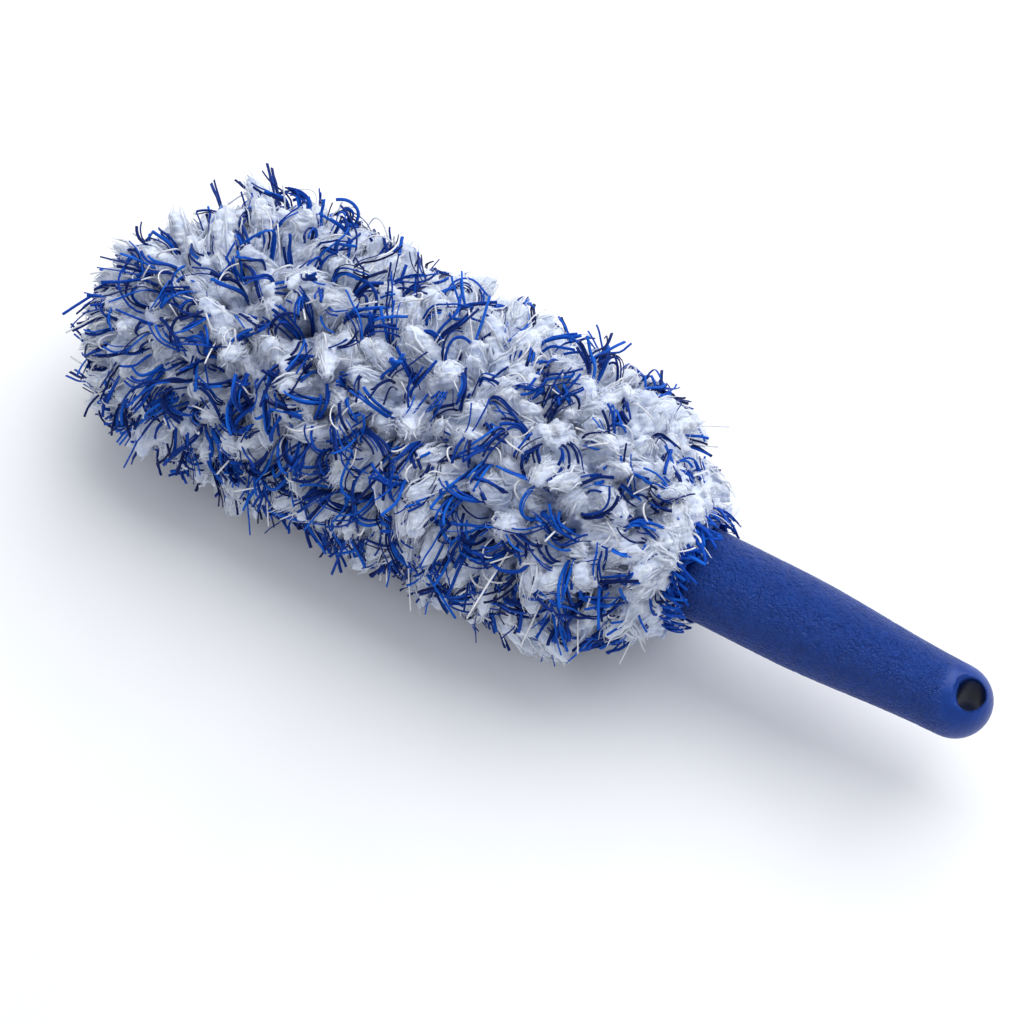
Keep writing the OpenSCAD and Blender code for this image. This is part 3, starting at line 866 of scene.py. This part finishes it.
# The bore's painted shade is full inside BORE_RIM_R less BORE_SHADE and fades out to BORE_RIM_R.
BORE_RIM_R = 4.9 * MM
BORE_SHADE = 0.9 * MM
EYE_SMOOTH_R = 7.0 * MM      # the handle has no grain this near the hole
GRAIN_DEPTH = 0.07 * MM


def spread_mouths(co):
    """Draws both mouths of the hang hole out across the handle, round its side."""
    x, y, z = co[:, 0] - hole_at.x, co[:, 1], co[:, 2] - AXIS_Z
    away = np.hypot(x, y)
    share = smooth_step((MOUTH_REACH - away) / (4 * MM))
    share = share * smooth_step((np.abs(z) - MOUTH_DEPTH) / (4 * MM))
    share = share * np.where(z > 0, 1.0 * (y < 0), -0.7 * (y > 0))
    turn = -np.sign(z) * np.sin(np.arctan2(y, np.abs(x) + 1e-9)) * share * MOUTH_SPREAD / (10 * MM)
    out = co.copy()
    out[:, 1] = y * np.cos(turn) - z * np.sin(turn)
    out[:, 2] = AXIS_Z + y * np.sin(turn) + z * np.cos(turn)
    out[:, 0] -= np.sign(x) * np.abs(np.cos(np.arctan2(y, x))) * share * MOUTH_PINCH
    return out


def make_handle():
    """The handle: an etched grip, a smooth end, and a hang hole with drawn-out mouths and painted shade
    in its bore.
    """
    ob = remeshed("handle_moulding", "handle", voxel=0.42 * MM, smoothing=3)
    co, no = places(ob), normals(ob)
    from_eye = np.hypot(co[:, 0] - hole_at.x, co[:, 1] * 0.8)
    clear_of_eye = smooth_step((from_eye - EYE_SMOOTH_R) / (3.5 * MM)) * (co[:, 0] < hole_at.x)
    radial = np.hypot(co[:, 1], co[:, 2] - AXIS_Z)
    outside = (dot(no, np.stack([0 * radial, co[:, 1], co[:, 2] - AXIS_Z], -1))[:, 0] > 0)
    from_cuff = smooth_step((co[:, 0] - NECK_X - 0.5 * MM) / (2 * MM))
    etched = clear_of_eye * outside * from_cuff
    height = np.zeros(len(co))
    some = etched > 0.01
    height[some] = grain_height(co[some])
    moved_to(ob, spread_mouths(co + no * (height * etched * GRAIN_DEPTH)[:, None]))
    # Where the bore's painted shade lies.
    bore_shade_mask = smooth_step((BORE_RIM_R - np.hypot(co[:, 0] - hole_at.x, co[:, 1])) / BORE_SHADE)
    give_values(ob.data, {"etched": etched, "painted_bore_shade": bore_shade_mask})
    dress(ob, handle_material(), "handle_body", ["handle"])


# ---------------------------------------------------------------- spine, foam and the sleeve's cloth

def make_spine():
    ob = remeshed("spine_moulding", "spine", voxel=0.6 * MM, smoothing=2)
    dress(ob, spine_material(), "handle_body", ["spine"])


def make_foam():
    """Pads cut from foam block: pitted faces and softened edges."""
    for side in ("front", "back"):
        ob = remeshed(f"foam_pad_{side}", f"foam_{side}", voxel=0.9 * MM, smoothing=3)
        co, no = places(ob), normals(ob)
        pits = np.minimum(waves(co, 4 * MM, 81, 9), 0) * 0.5 + waves(co, 2.4 * MM, 83, 9) * 0.15
        uneven = waves(co, 30 * MM, 85) * 0.3
        split = smooth_step((np.abs(co[:, 2] - AXIS_Z) - 0.5 * MM) / (1.5 * MM))
        moved_to(ob, co + no * ((pits + np.minimum(uneven, 0)) * split * MM)[:, None])
        dress(ob, foam_cloth, "handle_body", [f"foam_{side}"])


GATHERS = 22


def gathered(co, depth):
    """Moves cloth in and out round the handle in soft gathers, depth deep at each point."""
    angle = np.arctan2(co[:, 2] - AXIS_Z, co[:, 1])
    uneven = 0.6 * np.sin(angle * 3 + 1) + 0.4 * np.sin(angle * 5)
    fold = np.cos(GATHERS * angle + uneven * 2)
    away = co.copy()
    away[:, 0] = 0
    away[:, 2] -= AXIS_Z
    return co + unit(away) * (fold * depth)[:, None]


def make_sleeve_cloth():
    """The backing panels, their seam, the gathered cuff with its trim, and every row of stitches."""
    for side in ("front", "back"):
        ob = remeshed(f"backing_cloth_{side}", f"backing_{side}", voxel=0.6 * MM, smoothing=1)
        dress(ob, navy_cloth, "sleeve", [f"backing_{side}"])
    ob = remeshed("seam_tape", "side_seam", voxel=0.5 * MM, smoothing=2)
    co = places(ob)
    moved_to(ob, co + np.stack([0 * co[:, 0], 0 * co[:, 0], waves(co, 9 * MM, 91) * 0.25 * MM], -1))
    dress(ob, navy_cloth, "sleeve", ["side_seam"])
    ob = remeshed("cuff_cloth", "cuff", voxel=0.5 * MM, smoothing=1)
    co = places(ob)
    share = smooth_step((co[:, 0] - cuff_lo.x - 4 * MM) / (cuff_hi.x - cuff_lo.x))
    moved_to(ob, gathered(co, share * 0.45 * MM))
    dress(ob, blue_cloth, "sleeve", ["cuff"])
    ob = remeshed("binding_tape", "cuff_binding", voxel=0.35 * MM, smoothing=2)
    moved_to(ob, gathered(places(ob), np.full(len(ob.data.vertices), 0.25 * MM)))
    dress(ob, blue_cloth, "sleeve", ["cuff_binding"])
    ob = remeshed("elastic_band", "cuff_elastic", voxel=0.35 * MM, smoothing=1)
    moved_to(ob, gathered(places(ob), np.full(len(ob.data.vertices), 0.10 * MM)))
    dress(ob, elastic_cloth, "sleeve", ["cuff_elastic"])
    for name in ("seam_thread", "cuff_join_thread", "binding_thread"):
        ob = remeshed(name + "_stitches", name, voxel=0.16 * MM, smoothing=2)
        dress(ob, thread_cloth, "sleeve", [name])


# ---------------------------------------------------------------- camera, light and floor

VIEW_AZIMUTH = math.radians(30.35)
VIEW_ELEVATION = math.radians(60)
CAMERA_AWAY = 0.759
AIM_RIGHT = -4.25 * MM
AIM_UP = -8.1 * MM


def make_camera():
    a, e = VIEW_AZIMUTH, VIEW_ELEVATION
    back = Vector((math.sin(a) * math.cos(e), -math.cos(a) * math.cos(e), math.sin(e)))
    right = Vector((math.cos(a), math.sin(a), 0))
    up = back.cross(right)
    data = bpy.data.cameras.new("camera")
    data.lens = 90
    data.sensor_width = 36
    ob = bpy.data.objects.new("camera", data)
    bpy.context.scene.collection.objects.link(ob)
    aim = Vector((0, 0, AXIS_Z)) + right * AIM_RIGHT + up * AIM_UP
    ob.location = aim + back * CAMERA_AWAY
    ob.rotation_mode = "QUATERNION"
    ob.rotation_quaternion = (-back).to_track_quat("-Z", "Y")
    bpy.context.scene.camera = ob


def area_light(name, place, aim, size, power, colour=(1, 1, 1)):
    data = bpy.data.lights.new(name, "AREA")
    data.shape = "SQUARE"
    data.size = size
    data.energy = power
    data.color = colour
    ob = bpy.data.objects.new(name, data)
    bpy.context.scene.collection.objects.link(ob)
    ob.location = place
    ob.rotation_mode = "QUATERNION"
    ob.rotation_quaternion = (Vector(aim) - Vector(place)).to_track_quat("-Z", "Y")


FLOOR_HALF = 3.0


def make_studio():
    world = bpy.data.worlds.new("studio")
    bpy.context.scene.world = world
    world.use_nodes = True
    sky = world.node_tree.nodes["Background"]
    sky.inputs["Color"].default_value = (0.93, 0.95, 1.0, 1)
    sky.inputs["Strength"].default_value = 0.66
    area_light("key", (0.05, 0.6, 0.95), (0, 0, 0.03), 1.2, 13.5)
    area_light("fill", (-0.7, -0.6, 0.6), (0, 0, 0.03), 0.8, 0.4)
    m, tree, shader = new_material("pale_floor", 0.9, 0.1)
    colour = ramp(tree, object_noise(tree, 12), [
        (0.3, (0.86, 0.87, 0.88)), (0.7, (0.89, 0.9, 0.91))])
    tree.links.new(colour, shader.inputs["Base Color"])
    corners = np.array([[-1, -1, 0], [1, -1, 0], [1, 1, 0], [-1, 1, 0]]) * FLOOR_HALF
    floor = mesh_object("floor", corners, [np.array([[0, 1, 2, 3]])])
    floor.data.materials.append(m)
    bpy.context.scene.view_settings.view_transform = "Standard"


make_camera()
make_studio()
make_handle()
make_pile()
make_spine()
make_foam()
make_sleeve_cloth()
